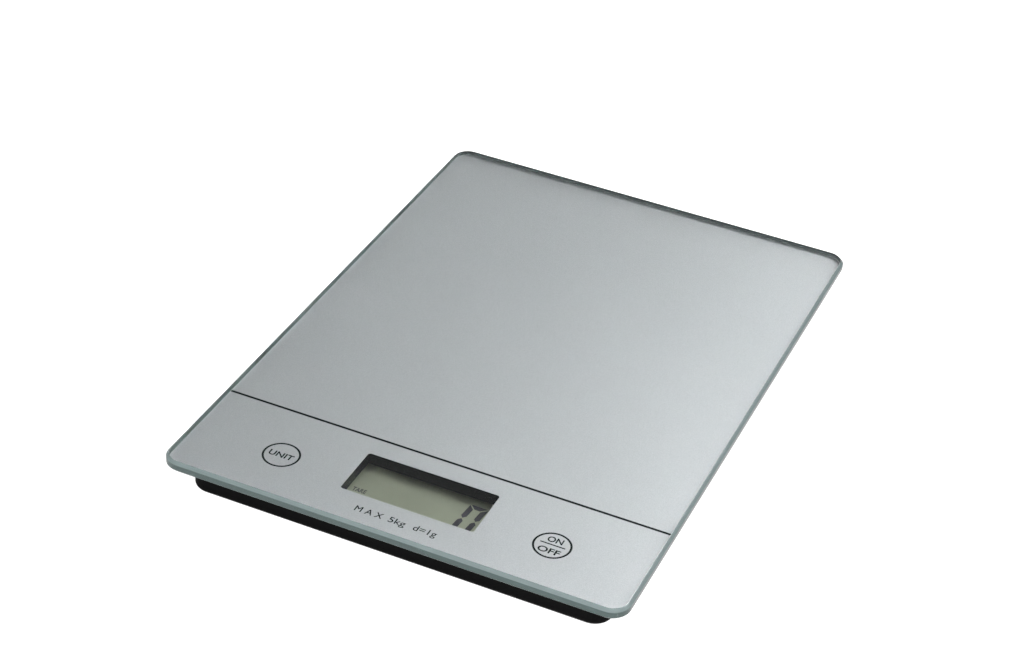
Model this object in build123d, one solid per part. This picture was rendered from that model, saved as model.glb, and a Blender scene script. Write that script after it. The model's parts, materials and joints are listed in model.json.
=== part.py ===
from build123d import *

import math
import os

# A slim kitchen scale, in millimetres. The origin is on the table under the middle of the glass,
# with +X to the user's right, +Y away from the user and +Z up.

# Driving dimensions: the glass platform
GLASS_WIDTH = 160.0
GLASS_DEPTH = 230.0
GLASS_THICKNESS = 4.0
GLASS_CORNER = 6.5
GLASS_BEVEL = 1.0
GLASS_BEVEL_ROUND = 0.3
OVERALL_HEIGHT = 15.0

# Driving dimensions: what is printed on the underside of the glass
PRINT_THICKNESS = 0.1
MARK_THICKNESS = 0.05
PRINT_INSET = 1.2
WINDOW_WIDTH = 46.6
WINDOW_DEPTH = 20.6
WINDOW_CORNER = 1.0
WINDOW_Y = -88.5
LINE_Y = -70.1
LINE_WIDTH = 1.0
KEY_X = 47.5
KEY_Y = -92.9
KEY_RING_RADIUS = 6.0
KEY_RING_STROKE = 0.7

# Driving dimensions: the case and what it stands on
SIDE_OVERHANG = 7.2
END_OVERHANG = 6.0
CASE_CORNER = 6.5
CASE_WALL = 1.8
CASE_FLOOR = 1.5
CASE_EDGE_ROUND = 1.5
CASE_TO_GLASS_GAP = 0.8
FOOT_STANDOFF = 1.2
FOOT_RADIUS = 6.0
FOOT_RECESS = 0.6
FOOT_EDGE_ROUND = 0.4
FOOT_X = 58.0
FOOT_Y = 93.0

# Driving dimensions: the ribs on the case floor
RIB_THICKNESS = 1.2
RIB_HEIGHT = 1.6
RIB_X = 49.0
RIB_FRONT = -52.0
RIB_CROSS_Y = (36.0, 67.0, 98.0)

# Driving dimensions: the way the platform moves on its load cell
PLATFORM_TRAVEL = 0.4
STOP_MARGIN = 0.05
STOP_RADIUS = 3.0
STOP_PLACES = [(-57.0, -50.0), (57.0, -50.0), (-57.0, 84.0), (57.0, 84.0)]

# Driving dimensions: the load cell and its two steel plates
PLATE_THICKNESS = 0.8
SPACER_THICKNESS = 0.5
CELL_LENGTH = 60.0
CELL_WIDTH = 12.0
CELL_HOLE_RADIUS = 1.9
CELL_HOLE_X = 5.0
CELL_SLOT_HEIGHT = 1.2
CELL_SCREW_X = (19.0, 26.0)
SPACER_LENGTH = 15.0
BASE_PLATE_WIDTH = 92.0
BASE_PLATE_DEPTH = 34.0
TOP_PLATE_WIDTH = 96.0
TOP_PLATE_DEPTH = 60.0
PLATE_CORNER = 4.0
GAUGE_WINDOW_WIDTH = 26.0
GAUGE_WINDOW_DEPTH = 18.0
GAUGE_LENGTH = 5.0
GAUGE_WIDTH = 4.0
GAUGE_FILM = 0.1
SEALANT_LENGTH = 18.0
SEALANT_WIDTH = 9.0
SEALANT_HEIGHT = 0.7
SEALANT_CORNER = 2.0
PLUG_LENGTH = 14.0
PLUG_DEPTH = 1.0
PLUG_INSET = 0.6
STAKE_X = 40.0
STAKE_Y = 11.0
STAKE_RADIUS = 1.5
STAKE_HEAD_RADIUS = 2.5
STAKE_HEAD_HEIGHT = 0.8

# Driving dimensions: M3 screws at the load cell and small self-tapping screws in the plastic
M3_RADIUS = 1.5
M3_HEAD_RADIUS = 2.75
M3_HEAD_HEIGHT = 1.4
M3_CONE_HEIGHT = 1.25
M3_CLEARANCE_RADIUS = 1.7
M3_LENGTH = 6.4
M3_HEAD_ROUND = 0.5
M3_RECESS_DEPTH = 0.8
M3_ACCESS_RADIUS = 3.3
TAPPER_RADIUS = 0.7
TAPPER_HEAD_RADIUS = 1.6
TAPPER_HEAD_HEIGHT = 0.6
FRAME_TAPPER_LENGTH = 3.5
HOLDER_TAPPER_LENGTH = 2.0
TAPPER_TIP_ROOM = 0.2
BOSS_RADIUS = 2.3
FIT_CLEARANCE = 0.03
DRIVE_WIDTH = 0.5

# Driving dimensions: the upper frame, glued under the glass
TAPE_THICKNESS = 0.2
TAPE_WIDTH = 6.0
TAPE_INSET = 1.3
FRAME_SHEET = 0.8
FRAME_GAP = 1.4
FRAME_SKIRT_THICKNESS = 1.2
FRAME_SKIRT_HEIGHT = 3.0
FRAME_HOLE_CLEARANCE = 0.5
KEY_HOLE_RADIUS = 5.2

# Driving dimensions: the display
LCD_DEPTH_BELOW_GLASS = 4.5
LCD_WIDTH = 52.0
LCD_GLASS = 0.55
LCD_FILM = 0.15
LCD_MARGIN = 1.3
LCD_LEDGE = 3.4
FILM_WIDTH = 50.4
HOLDER_WALL = 1.8
HOLDER_CLEARANCE = 0.2
HOLDER_LID = 1.2
SHROUD_GAP = 0.2
SHROUD_WALL = 1.2
HOLDER_SCREW_X = 31.2
HOLDER_SCREW_Y = (-97.0, -78.0)
BACK_COVER_THICKNESS = 0.6
BACK_COVER_FLOOR_GAP = 0.8
FOAM_WIDTH = 44.0
FOAM_DEPTH = 6.0

# Driving dimensions: the circuit board
BOARD_WIDTH = 116.0
BOARD_FRONT = -102.5
BOARD_BACK = -63.5
BOARD_THICKNESS = 0.8
BOARD_SCREW_X = 54.5
BOARD_SCREW_Y = (-99.0, -67.0)
BOARD_TO_FLOOR = 1.4
BOARD_HOLDER_GAP = 0.5
FLEX_WIDTH = 40.0
FLEX_THICKNESS = 0.1
TOUCH_SPRING_RADIUS = 3.5
TOUCH_SPRING_WIRE = 0.6
TOUCH_SPRING_TURNS = 5
BLOB_RADIUS = 4.5
BLOB_PLACE = (42.0, -77.0)
BLOB_HEIGHT = 1.2
CHIP_SIZE = (2.0, 1.2, 0.7)
REAR_CHIP_Y = -64.7
REAR_CHIP_X = (-49, -45, -22, -9, 9, 22, 26, 45, 49)
WING_CHIP_Y = -88.0
WING_CHIP_X = (-36, -33, 33, 36)
FLEX_BOND = 2.7

# Driving dimensions: the battery compartment, its cell and its door
BATTERY_Y = -42.0
COIN_RADIUS = 10.0
COIN_THICKNESS = 3.2
COIN_CLEARANCE = 0.3
COIN_STEP = 0.25
COIN_CAP_INSET = 1.2
CHAMBER_WIDTH = 35.0
CHAMBER_FRONT = -57.0
CHAMBER_BACK = -25.4
CHAMBER_ROOF = 0.8
CONTACT_THICKNESS = 0.25
CONTACT_WIDTH = 5.0
CONTACT_ROOM = 1.0
CONTACT_TAIL = 1.0
CONTACT_TOUCH_GAP = 0.05
CONTACT_SIDE_ROOM = 0.2
CONTACT_BEND_X = -2.0
CONTACT_TOUCH_X = 4.5
CONTACT_TIP_X = 6.5
CONTACT_TIP_RISE = 0.3
NEGATIVE_SLOT_RIGHT = -5.0
POSITIVE_SLOT_LEFT = 8.0
POSITIVE_SLOT_ROOM = 0.6
CHAMBER_SLOT_REACH = 1.0
DOOR_WIDTH = 30.0
DOOR_LENGTH = 25.0
DOOR_THICKNESS = 1.2
DOOR_GAP = 0.2
DOOR_HINGE_GAP = 0.3
HOOK_X = 9.0
HOOK_WIDTH = 4.0
HOOK_REACH = 2.3
HOOK_ROOT = 2.0
HOOK_THICKNESS = 0.8
HOOK_SINK = 0.4
HOOK_ROOM_BELOW = 0.1
HOOK_ROOM_ABOVE = 3.0
TONGUE_SLOT_X = 5.0
TONGUE_SLOT_WIDTH = 0.8
TONGUE_LENGTH = 7.0
GRIP_LENGTH = 6.0
GRIP_WIDTH = 0.6
GRIP_DEPTH = 0.3
GRIP_OFFSETS = (1.6, 3.0, 4.4)
THUMB_RADIUS = 5.5
THUMB_DEPTH = 0.9
THUMB_OFFSET = 1.5

# Driving dimensions: wires
WIRE_DIAMETER = 1.0
WIRE_BEND = 2.5

# Heights, worked out from the table up and from the glass down
CASE_UNDERSIDE = FOOT_STANDOFF
FLOOR_TOP = CASE_UNDERSIDE + CASE_FLOOR
GLASS_UNDERSIDE = OVERALL_HEIGHT - GLASS_THICKNESS
CASE_RIM = GLASS_UNDERSIDE - CASE_TO_GLASS_GAP
PRINT_UNDERSIDE = GLASS_UNDERSIDE - PRINT_THICKNESS
FRAME_TOP = PRINT_UNDERSIDE - TAPE_THICKNESS
FRAME_UNDERSIDE = FRAME_TOP - FRAME_SHEET
BASE_PLATE_TOP = FLOOR_TOP + PLATE_THICKNESS
CELL_BOTTOM = BASE_PLATE_TOP + SPACER_THICKNESS
CELL_TOP = FRAME_UNDERSIDE - SPACER_THICKNESS
LCD_TOP = GLASS_UNDERSIDE - LCD_DEPTH_BELOW_GLASS
LCD_FRONT_GLASS_TOP = LCD_TOP - LCD_FILM
LCD_REAR_GLASS_TOP = LCD_FRONT_GLASS_TOP - LCD_GLASS
LCD_REFLECTOR_TOP = LCD_REAR_GLASS_TOP - LCD_GLASS
BOARD_UNDERSIDE = FLOOR_TOP + BOARD_TO_FLOOR
BOARD_TOP = BOARD_UNDERSIDE + BOARD_THICKNESS
BACK_COVER_BOTTOM = FLOOR_TOP + BACK_COVER_FLOOR_GAP
BACK_COVER_TOP = BACK_COVER_BOTTOM + BACK_COVER_THICKNESS
DOOR_INNER_FACE = CASE_UNDERSIDE + DOOR_THICKNESS
CHAMBER_FLOOR = DOOR_INNER_FACE + DOOR_GAP
COIN_BOTTOM = CHAMBER_FLOOR + DOOR_GAP
COIN_TOP = COIN_BOTTOM + COIN_THICKNESS
CHAMBER_CEILING = COIN_TOP + CONTACT_ROOM
CHAMBER_TOP = CHAMBER_CEILING + CHAMBER_ROOF

# Plan sizes, worked out
CASE_WIDTH = GLASS_WIDTH - 2 * SIDE_OVERHANG
CASE_DEPTH = GLASS_DEPTH - 2 * END_OVERHANG
CAVITY_WIDTH = CASE_WIDTH - 2 * CASE_WALL
CAVITY_DEPTH = CASE_DEPTH - 2 * CASE_WALL
FRAME_WIDTH = CAVITY_WIDTH - 2 * FRAME_GAP
FRAME_DEPTH = CAVITY_DEPTH - 2 * FRAME_GAP
FRAME_CORNER = CASE_CORNER - CASE_WALL - FRAME_GAP / 2
LCD_FRONT = WINDOW_Y - WINDOW_DEPTH / 2 - LCD_MARGIN
LCD_BACK = WINDOW_Y + WINDOW_DEPTH / 2 + LCD_MARGIN + LCD_LEDGE
BOARD_NOTCH_BACK = LCD_BACK + HOLDER_CLEARANCE + HOLDER_WALL + BOARD_HOLDER_GAP
DOOR_FRONT = BATTERY_Y - DOOR_LENGTH / 2
HINGE_Y = BATTERY_Y + DOOR_LENGTH / 2
HINGE_Z = CASE_UNDERSIDE + DOOR_THICKNESS / 2


def block(width, depth, bottom, top, centre=(0.0, 0.0), corner=0.0):
    """Upright block between two heights, with rounded plan corners if corner is given."""
    if corner > 0:
        outline = RectangleRounded(width, depth, corner)
    else:
        outline = Rectangle(width, depth)
    return Pos(centre[0], centre[1], bottom) * extrude(outline, top - bottom)


def span(left, right, front, back, bottom, top):
    """Plain block given by its six sides."""
    return block(right - left, back - front, bottom, top, ((left + right) / 2, (front + back) / 2))


def post(x, y, radius, bottom, top):
    """Upright round post."""
    return Pos(x, y, bottom) * extrude(Circle(radius), top - bottom)


def both_sides(x, ys):
    """The four places at plus and minus x, at each of two ys."""
    return [(side * x, y) for side in (-1, 1) for y in ys]


def cross_recess(x, y, size, bottom, top):
    """The two bars of a cross-head screwdriver recess."""
    bar = block(size, DRIVE_WIDTH, bottom, top, (x, y))
    return bar + block(DRIVE_WIDTH, size, bottom, top, (x, y))


def tube(points, diameter=WIRE_DIAMETER, bend=WIRE_BEND):
    """Round wire along straight runs joined by tangent arcs."""
    path = FilletPolyline(*points, radius=bend)
    section = Plane(origin=path @ 0, z_dir=path % 0) * Circle(diameter / 2)
    return sweep(section, path=path)


# The platform: glass, print and what is glued under them


def glass_platform():
    """Toughened sheet, bevelled round its top and bottom edges, with every crease eased."""
    glass = block(GLASS_WIDTH, GLASS_DEPTH, GLASS_UNDERSIDE, OVERALL_HEIGHT, corner=GLASS_CORNER)
    for face in (0, -1):
        glass = chamfer(glass.faces().sort_by(Axis.Z)[face].edges(), GLASS_BEVEL)
    lower_crease = GLASS_UNDERSIDE + GLASS_BEVEL
    upper_crease = OVERALL_HEIGHT - GLASS_BEVEL
    for height in (GLASS_UNDERSIDE, lower_crease, upper_crease, OVERALL_HEIGHT):
        crease = glass.edges().filter_by_position(Axis.Z, height, height)
        glass = fillet(crease, GLASS_BEVEL_ROUND)
    return glass


def divider_line():
    return block(
        GLASS_WIDTH - 2 * PRINT_INSET,
        LINE_WIDTH,
        GLASS_UNDERSIDE - MARK_THICKNESS,
        GLASS_UNDERSIDE,
        (0, LINE_Y),
    )


def key_ring(x):
    """Printed circle that shows where to touch."""
    outer = KEY_RING_RADIUS + KEY_RING_STROKE / 2
    inner = KEY_RING_RADIUS - KEY_RING_STROKE / 2
    bottom = GLASS_UNDERSIDE - MARK_THICKNESS
    return post(x, KEY_Y, outer, bottom, GLASS_UNDERSIDE) - post(
        x, KEY_Y, inner, bottom, GLASS_UNDERSIDE
    )


def silver_back_print():
    """Paint over the whole underside, with the clear display window and room for the dark marks."""
    paint = block(
        GLASS_WIDTH - 2 * PRINT_INSET,
        GLASS_DEPTH - 2 * PRINT_INSET,
        PRINT_UNDERSIDE,
        GLASS_UNDERSIDE,
        corner=GLASS_CORNER - PRINT_INSET,
    )
    paint -= block(
        WINDOW_WIDTH,
        WINDOW_DEPTH,
        PRINT_UNDERSIDE,
        GLASS_UNDERSIDE,
        (0, WINDOW_Y),
        WINDOW_CORNER,
    )
    return paint - divider_line() - key_ring(-KEY_X) - key_ring(KEY_X)


def frame_tape():
    """Double-sided tape round the top of the upper frame, cut out for the display well."""
    width = FRAME_WIDTH - 2 * TAPE_INSET
    depth = FRAME_DEPTH - 2 * TAPE_INSET
    ring = block(width, depth, FRAME_TOP, PRINT_UNDERSIDE, corner=FRAME_CORNER)
    ring -= block(width - 2 * TAPE_WIDTH, depth - 2 * TAPE_WIDTH, FRAME_TOP, PRINT_UNDERSIDE)
    return ring - shroud(FRAME_HOLE_CLEARANCE, FRAME_TOP, PRINT_UNDERSIDE)


def top_plate_tape():
    return block(
        TOP_PLATE_WIDTH - 2 * TAPE_INSET,
        TOP_PLATE_DEPTH - 2 * TAPE_INSET,
        FRAME_TOP,
        PRINT_UNDERSIDE,
        corner=PLATE_CORNER,
    )


def upper_frame():
    """Thin moulded tray, open side down, that carries the display and the board."""
    frame = block(
        FRAME_WIDTH,
        FRAME_DEPTH,
        FRAME_UNDERSIDE - FRAME_SKIRT_HEIGHT,
        FRAME_TOP,
        corner=FRAME_CORNER,
    )
    frame -= block(
        FRAME_WIDTH - 2 * FRAME_SKIRT_THICKNESS,
        FRAME_DEPTH - 2 * FRAME_SKIRT_THICKNESS,
        FRAME_UNDERSIDE - FRAME_SKIRT_HEIGHT,
        FRAME_UNDERSIDE,
        corner=FRAME_CORNER - FRAME_SKIRT_THICKNESS,
    )
    frame -= block(
        TOP_PLATE_WIDTH + 2 * FRAME_HOLE_CLEARANCE,
        TOP_PLATE_DEPTH + 2 * FRAME_HOLE_CLEARANCE,
        FRAME_UNDERSIDE,
        FRAME_TOP,
        corner=PLATE_CORNER,
    )
    frame -= shroud(FRAME_HOLE_CLEARANCE, FRAME_UNDERSIDE, FRAME_TOP)
    for x in (-KEY_X, KEY_X):
        frame -= post(x, KEY_Y, KEY_HOLE_RADIUS, FRAME_UNDERSIDE, FRAME_TOP)
    for x, y in board_screw_places():
        frame += post(x, y, BOSS_RADIUS, BOARD_TOP, FRAME_UNDERSIDE)
        frame -= tapper_hole(x, y, FRAME_TAPPER_LENGTH)
    return frame


def top_plate():
    """Steel plate that spreads the load from the glass onto the free end of the load cell."""
    plate = block(
        TOP_PLATE_WIDTH, TOP_PLATE_DEPTH, FRAME_UNDERSIDE, FRAME_TOP, corner=PLATE_CORNER
    )
    plate -= block(GAUGE_WINDOW_WIDTH, GAUGE_WINDOW_DEPTH, FRAME_UNDERSIDE, FRAME_TOP, corner=2.0)
    for x in CELL_SCREW_X:
        plate -= countersunk_screw_space(x)
    return plate


# The display and its board


def lcd_sheet(width, back, bottom, top, edge=0.0):
    return span(-width / 2, width / 2, LCD_FRONT + edge, back - edge, bottom, top)


def lcd_front_polariser():
    back = LCD_BACK - LCD_LEDGE
    return lcd_sheet(FILM_WIDTH, back, LCD_FRONT_GLASS_TOP, LCD_TOP, edge=LCD_FILM)


def lcd_front_glass():
    """The longer of the two glasses. Its contacts face down along the back ledge."""
    return lcd_sheet(LCD_WIDTH, LCD_BACK, LCD_REAR_GLASS_TOP, LCD_FRONT_GLASS_TOP)


def lcd_rear_glass():
    return lcd_sheet(LCD_WIDTH, LCD_BACK - LCD_LEDGE, LCD_REFLECTOR_TOP, LCD_REAR_GLASS_TOP)


def lcd_reflector():
    top = LCD_REFLECTOR_TOP
    return lcd_sheet(FILM_WIDTH, LCD_BACK - LCD_LEDGE, top - LCD_FILM, top, edge=LCD_FILM)


def lcd_foam_strip():
    """Foam that presses the display up against the holder's lid."""
    top = LCD_REFLECTOR_TOP - LCD_FILM
    return block(FOAM_WIDTH, FOAM_DEPTH, BACK_COVER_TOP, top, (0, WINDOW_Y))


def lcd_back_cover():
    """Thin plate pressed into the holder under the display, which it closes."""
    half = LCD_WIDTH / 2 + HOLDER_CLEARANCE
    front = LCD_FRONT - HOLDER_CLEARANCE
    back = LCD_BACK + HOLDER_CLEARANCE
    return span(-half, half, front, back, BACK_COVER_BOTTOM, BACK_COVER_TOP)


def display_flex():
    """Film connector bonded under the display's ledge and onto the board behind it."""
    ledge_front = LCD_BACK - LCD_LEDGE + FIT_CLEARANCE
    step = LCD_BACK - FLEX_THICKNESS
    board_end = BOARD_NOTCH_BACK + FLEX_BOND
    half = FLEX_WIDTH / 2
    upper = LCD_REAR_GLASS_TOP - FLEX_THICKNESS
    film = span(-half, half, ledge_front, LCD_BACK, upper, LCD_REAR_GLASS_TOP)
    film += span(-half, half, step, LCD_BACK, BOARD_TOP, LCD_REAR_GLASS_TOP)
    return film + span(-half, half, step, board_end, BOARD_TOP, BOARD_TOP + FLEX_THICKNESS)


def shroud(grow, bottom, top):
    """Outline of the dark wall round the display well, grown by some clearance."""
    reach = 2 * (SHROUD_GAP + SHROUD_WALL + grow)
    return block(WINDOW_WIDTH + reach, WINDOW_DEPTH + reach, bottom, top, (0, WINDOW_Y), 1.5)


def lcd_holder():
    """Dark frame that holds the display and walls in the well under the window."""
    reach = HOLDER_CLEARANCE + HOLDER_WALL
    half = LCD_WIDTH / 2 + reach
    lid_top = LCD_TOP + HOLDER_LID
    holder = span(-half, half, LCD_FRONT - reach, LCD_BACK + reach, BACK_COVER_BOTTOM, lid_top)
    holder += shroud(0.0, LCD_TOP, PRINT_UNDERSIDE)
    for x, y in holder_screw_places():
        ear_inner = math.copysign(half, x)
        ear_left, ear_right = sorted((ear_inner, x))
        ear = span(ear_left, ear_right, y - BOSS_RADIUS, y + BOSS_RADIUS, BOARD_TOP, lid_top)
        holder += ear + post(x, y, BOSS_RADIUS, BOARD_TOP, lid_top)
        holder -= tapper_hole(x, y, HOLDER_TAPPER_LENGTH)
    pocket_half = LCD_WIDTH / 2 + HOLDER_CLEARANCE
    pocket_front = LCD_FRONT - HOLDER_CLEARANCE
    pocket_back = LCD_BACK + HOLDER_CLEARANCE
    holder -= span(
        -pocket_half, pocket_half, pocket_front, pocket_back, BACK_COVER_BOTTOM, LCD_TOP
    )
    flex_half = FLEX_WIDTH / 2 + FRAME_HOLE_CLEARANCE
    slot_top = BOARD_TOP + 2 * FLEX_THICKNESS
    holder -= span(
        -flex_half, flex_half, LCD_BACK, LCD_BACK + reach, BACK_COVER_BOTTOM, slot_top
    )
    well_width = WINDOW_WIDTH + 2 * SHROUD_GAP
    well_depth = WINDOW_DEPTH + 2 * SHROUD_GAP
    return holder - block(well_width, well_depth, LCD_TOP, PRINT_UNDERSIDE, (0, WINDOW_Y))


def board_screw_places():
    return both_sides(BOARD_SCREW_X, BOARD_SCREW_Y)


def holder_screw_places():
    return both_sides(HOLDER_SCREW_X, HOLDER_SCREW_Y)


def circuit_board():
    """U-shaped board: a wing under each touch key and a strip behind the display."""
    middle = (BOARD_FRONT + BOARD_BACK) / 2
    length = BOARD_BACK - BOARD_FRONT
    board = block(BOARD_WIDTH, length, BOARD_UNDERSIDE, BOARD_TOP, (0, middle), 1.0)
    half = LCD_WIDTH / 2 + HOLDER_CLEARANCE + HOLDER_WALL + BOARD_HOLDER_GAP
    board -= span(-half, half, BOARD_FRONT, BOARD_NOTCH_BACK, BOARD_UNDERSIDE, BOARD_TOP)
    for x, y in board_screw_places() + holder_screw_places():
        board -= post(x, y, TAPPER_RADIUS + 2 * FIT_CLEARANCE, BOARD_UNDERSIDE, BOARD_TOP)
    return board


def controller_blob():
    """Epoxy dome over the controller chip, on the right wing of the board."""
    x, y = BLOB_PLACE
    ball = (BLOB_RADIUS**2 + BLOB_HEIGHT**2) / (2 * BLOB_HEIGHT)
    dome = Pos(x, y, BOARD_TOP + BLOB_HEIGHT - ball) * Sphere(ball)
    return dome & post(x, y, 2 * BLOB_RADIUS, BOARD_TOP, BOARD_TOP + BLOB_HEIGHT)


def chip_components():
    """Surface-mounted capacitors and resistors, behind the display and on both wings."""
    width, depth, height = CHIP_SIZE
    places = [(x, REAR_CHIP_Y) for x in REAR_CHIP_X] + [(x, WING_CHIP_Y) for x in WING_CHIP_X]
    chips = [block(width, depth, BOARD_TOP, BOARD_TOP + height, place) for place in places]
    return Compound(children=chips)


def touch_spring(x):
    """Coil that carries the touch signal from the board up to the glass."""
    half_wire = TOUCH_SPRING_WIRE / 2
    height = PRINT_UNDERSIDE - BOARD_TOP - TOUCH_SPRING_WIRE
    coil = Helix(height / TOUCH_SPRING_TURNS, height, TOUCH_SPRING_RADIUS)
    section = Plane(origin=coil @ 0, z_dir=coil % 0) * Circle(half_wire)
    return Pos(x, KEY_Y, BOARD_TOP + half_wire) * sweep(section, path=coil, is_frenet=True)


# Screws


def tapper(x, y, length):
    """Small pan-head self-tapping screw, driven upward through the board."""
    bottom = BOARD_UNDERSIDE - TAPPER_HEAD_HEIGHT
    screw = post(x, y, TAPPER_HEAD_RADIUS, bottom, BOARD_UNDERSIDE)
    screw += post(x, y, TAPPER_RADIUS, BOARD_UNDERSIDE, BOARD_TOP + length)
    recess = cross_recess(x, y, TAPPER_HEAD_RADIUS, bottom, bottom + TAPPER_HEAD_HEIGHT / 2)
    return screw - recess


def tapper_hole(x, y, length):
    """Pilot hole in a boss above the board, a little deeper than the screw."""
    top = BOARD_TOP + length + TAPPER_TIP_ROOM
    return post(x, y, TAPPER_RADIUS + FIT_CLEARANCE, BOARD_TOP, top)


def tappers(places, length):
    return Compound(children=[tapper(x, y, length) for x, y in places])


def countersunk_screw(x):
    """Flat-head M3 screw, its head flush with the top of the top plate."""
    cone_bottom = FRAME_TOP - M3_CONE_HEIGHT
    cone = Pos(x, 0, FRAME_TOP - M3_CONE_HEIGHT / 2) * Cone(
        M3_RADIUS, M3_HEAD_RADIUS, M3_CONE_HEIGHT
    )
    shank = post(x, 0, M3_RADIUS, FRAME_TOP - M3_LENGTH, cone_bottom)
    recess_bottom = FRAME_TOP - M3_RECESS_DEPTH
    return cone + shank - cross_recess(x, 0, M3_HEAD_RADIUS, recess_bottom, FRAME_TOP)


def countersunk_screw_space(x):
    """The countersunk hole for that screw, through the top plate and its spacer."""
    grow = FIT_CLEARANCE
    cone = Pos(x, 0, FRAME_TOP - M3_CONE_HEIGHT / 2) * Cone(
        M3_RADIUS + grow, M3_HEAD_RADIUS + grow, M3_CONE_HEIGHT
    )
    return cone + post(x, 0, M3_RADIUS + grow, CELL_TOP, FRAME_TOP - M3_CONE_HEIGHT)


def load_cell_upper_screws():
    return Compound(children=[countersunk_screw(x) for x in CELL_SCREW_X])


def load_cell_lower_screws():
    """Pan-head M3 screws that bear on the base plate through holes in the case floor."""
    screws = []
    for x in CELL_SCREW_X:
        bottom = FLOOR_TOP - M3_HEAD_HEIGHT
        screw = post(-x, 0, M3_HEAD_RADIUS, bottom, FLOOR_TOP)
        screw = fillet(screw.faces().sort_by(Axis.Z)[0].edges(), M3_HEAD_ROUND)
        screw += post(-x, 0, M3_RADIUS, FLOOR_TOP, FLOOR_TOP + M3_LENGTH)
        recess_top = bottom + M3_RECESS_DEPTH
        screws.append(screw - cross_recess(-x, 0, M3_HEAD_RADIUS, bottom, recess_top))
    return Compound(children=screws)


# The load cell


def load_cell():
    """Aluminium bending bar: two round holes joined by a slot leave the thin gauge sections."""
    middle = (CELL_BOTTOM + CELL_TOP) / 2
    bar = block(CELL_LENGTH, CELL_WIDTH, CELL_BOTTOM, CELL_TOP)
    for x in (-CELL_HOLE_X, CELL_HOLE_X):
        bar -= Pos(x, 0, middle) * Rot(90, 0, 0) * Cylinder(CELL_HOLE_RADIUS, CELL_WIDTH)
    half_slot = CELL_SLOT_HEIGHT / 2
    bar -= block(2 * CELL_HOLE_X, CELL_WIDTH, middle - half_slot, middle + half_slot)
    for x in CELL_SCREW_X:
        bar -= post(x, 0, M3_RADIUS + FIT_CLEARANCE, CELL_BOTTOM, CELL_TOP)
        bar -= post(-x, 0, M3_RADIUS + FIT_CLEARANCE, CELL_BOTTOM, CELL_TOP)
    return bar


def strain_gauges():
    """Four thin films, over and under each thin section of the bar."""
    gauges = []
    for x in (-CELL_HOLE_X, CELL_HOLE_X):
        for bottom in (CELL_TOP, CELL_BOTTOM - GAUGE_FILM):
            gauges.append(block(GAUGE_LENGTH, GAUGE_WIDTH, bottom, bottom + GAUGE_FILM, (x, 0)))
    return Compound(children=gauges)


def gauge_sealant():
    """White rubber over the gauges, above and below, and round the wires at the front."""
    films = strain_gauges()
    pads = []
    for bottom in (CELL_TOP, CELL_BOTTOM - SEALANT_HEIGHT):
        top = bottom + SEALANT_HEIGHT
        pad = block(SEALANT_LENGTH, SEALANT_WIDTH, bottom, top, corner=SEALANT_CORNER) - films
        pads.extend(pad.solids())
    plug_y = -(CELL_WIDTH + PLUG_DEPTH) / 2
    bottom, top = CELL_BOTTOM + PLUG_INSET, CELL_TOP - PLUG_INSET
    plug = block(PLUG_LENGTH, PLUG_DEPTH, bottom, top, (0, plug_y))
    return Compound(children=[*pads, *plug.solids()])


def spacer(side, bottom):
    """Thin steel shim that keeps the bar clear of a plate. Side is -1 below and 1 above."""
    x = side * (CELL_LENGTH - SPACER_LENGTH) / 2
    return block(SPACER_LENGTH, CELL_WIDTH, bottom, bottom + SPACER_THICKNESS, (x, 0))


def load_cell_upper_spacer():
    shim = spacer(1, CELL_TOP)
    for x in CELL_SCREW_X:
        shim -= countersunk_screw_space(x)
    return shim


def load_cell_lower_spacer():
    shim = spacer(-1, BASE_PLATE_TOP)
    for x in CELL_SCREW_X:
        shim -= post(-x, 0, M3_CLEARANCE_RADIUS, BASE_PLATE_TOP, CELL_BOTTOM)
    return shim


def stake_places():
    return both_sides(STAKE_X, (-STAKE_Y, STAKE_Y))


def base_plate():
    """Steel plate staked to the case floor, under the fixed end of the load cell."""
    plate = block(
        BASE_PLATE_WIDTH, BASE_PLATE_DEPTH, FLOOR_TOP, BASE_PLATE_TOP, corner=PLATE_CORNER
    )
    plate -= block(GAUGE_WINDOW_WIDTH, GAUGE_WINDOW_DEPTH, FLOOR_TOP, BASE_PLATE_TOP, corner=2.0)
    for x in CELL_SCREW_X:
        plate -= post(-x, 0, M3_CLEARANCE_RADIUS, FLOOR_TOP, BASE_PLATE_TOP)
    for x, y in stake_places():
        plate -= post(x, y, STAKE_RADIUS + DOOR_GAP, FLOOR_TOP, BASE_PLATE_TOP)
    return plate


# The case


def foot_places():
    return {
        "foot_front_left": (-FOOT_X, -FOOT_Y),
        "foot_front_right": (FOOT_X, -FOOT_Y),
        "foot_rear_left": (-FOOT_X, FOOT_Y),
        "foot_rear_right": (FOOT_X, FOOT_Y),
    }


def foot(x, y):
    """Rubber pad glued into a shallow recess in the case."""
    pad = post(x, y, FOOT_RADIUS, 0.0, CASE_UNDERSIDE + FOOT_RECESS)
    return fillet(pad.faces().sort_by(Axis.Z)[0].edges(), FOOT_EDGE_ROUND)


def floor_ribs():
    """Low ribs that stiffen the case floor behind and beside the load cell."""
    top = FLOOR_TOP + RIB_HEIGHT
    half = RIB_THICKNESS / 2
    inner = RIB_X - half
    ribs = [
        span(x - half, x + half, RIB_FRONT, RIB_CROSS_Y[-1], FLOOR_TOP, top) for x in (-RIB_X, RIB_X)
    ]
    ribs += [span(-inner, inner, y - half, y + half, FLOOR_TOP, top) for y in RIB_CROSS_Y]
    return ribs


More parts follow.
